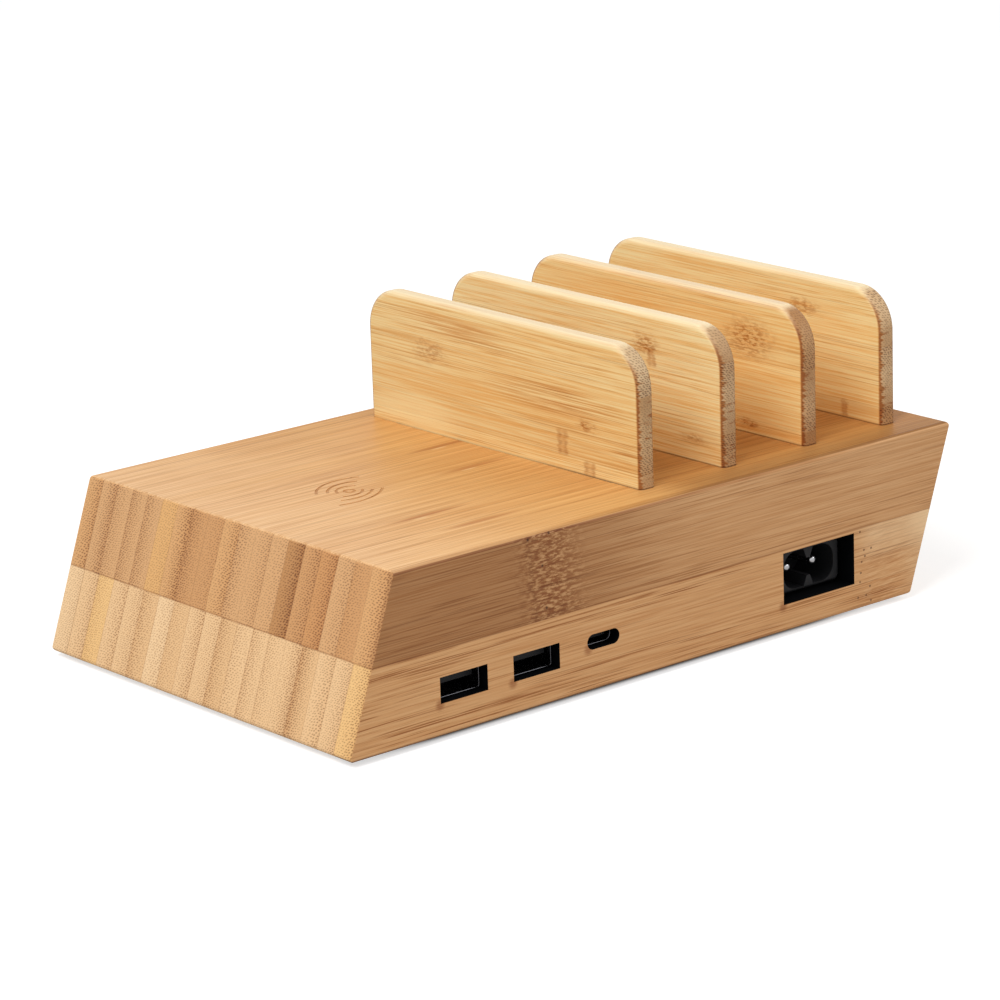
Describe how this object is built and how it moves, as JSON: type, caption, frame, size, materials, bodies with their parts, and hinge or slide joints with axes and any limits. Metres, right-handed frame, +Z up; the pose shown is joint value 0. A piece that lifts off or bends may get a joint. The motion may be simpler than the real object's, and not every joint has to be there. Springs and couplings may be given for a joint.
{
  "type": "charging station organizer",
  "caption": "Low slanted bamboo block with a wireless charging pad, upright divider plates for devices, USB ports and a mains inlet",
  "frame": {"origin": "middle of the object in plan, on the surface that its feet stand on", "axes": "+X from the charging pad to the last divider, -Y out of the port side, +Z up"},
  "size_m": [0.1854, 0.114, 0.0746],
  "materials": {
    "bamboo_dark": "oiled bamboo, satin, brown",
    "bamboo_light": "oiled bamboo, satin, light",
    "bamboo_pale": "oiled bamboo, satin, pale yellow",
    "black_plastic": "moulded, fine texture",
    "rubber": "matt",
    "black_nickel": "black plated steel",
    "gold_contact": "gold plated",
    "nickel": "nickel plated brass",
    "screw_steel": "zinc plated",
    "circuit_board": "green solder mask",
    "moulded_epoxy": "moulded epoxy",
    "can_sleeve": "shrink sleeve",
    "yellow_film": "tape and box film",
    "brown_film": "dipped film",
    "green_core": "painted ring core",
    "ceramic": "fuse body",
    "ferrite": "sintered ferrite",
    "heat_sink": "extruded",
    "copper_wire": "enamelled copper strand",
    "white_plastic": "moulded",
    "lead_sheath": "soft sheath"
  },
  "bodies": {
    "root": {"upper_block": "bamboo_dark", "lower_block": "bamboo_light", "divider_1": "bamboo_pale", "divider_2": "bamboo_pale", "divider_3": "bamboo_pale", "divider_4": "bamboo_pale", "base_plate": "black_plastic", "base_screws": "screw_steel", "rubber_feet": "rubber", "usb_a_shell_1": "black_nickel", "usb_a_insert_1": "black_plastic", "usb_a_contacts_1": "gold_contact", "usb_a_shell_2": "black_nickel", "usb_a_insert_2": "black_plastic", "usb_a_contacts_2": "gold_contact", "usb_c_shell": "black_nickel", "usb_c_insert": "black_plastic", "usb_c_contacts": "gold_contact", "inlet_housing": "black_plastic", "inlet_pins": "nickel", "inlet_screws": "screw_steel", "port_board": "circuit_board", "port_chip": "moulded_epoxy", "port_inductors": "moulded_epoxy", "port_capacitor": "can_sleeve", "mains_board": "circuit_board", "fuse": "ceramic", "filter_capacitor": "yellow_film", "filter_choke": "green_core", "bridge_rectifier": "moulded_epoxy", "storage_capacitor": "can_sleeve", "transformer_core": "ferrite", "transformer_winding": "yellow_film", "heat_sink": "heat_sink", "power_transistor": "moulded_epoxy", "output_capacitors": "can_sleeve", "charger_board": "circuit_board", "charger_chip": "moulded_epoxy", "charger_inductor": "moulded_epoxy", "tuning_capacitors": "brown_film", "coil": "copper_wire", "ferrite_disc": "ferrite", "coil_tray": "white_plastic", "tray_screws": "screw_steel", "board_screws": "screw_steel", "inlet_leads": "lead_sheath", "port_leads": "lead_sheath", "charger_leads": "lead_sheath"}
  },
  "joints": []
}
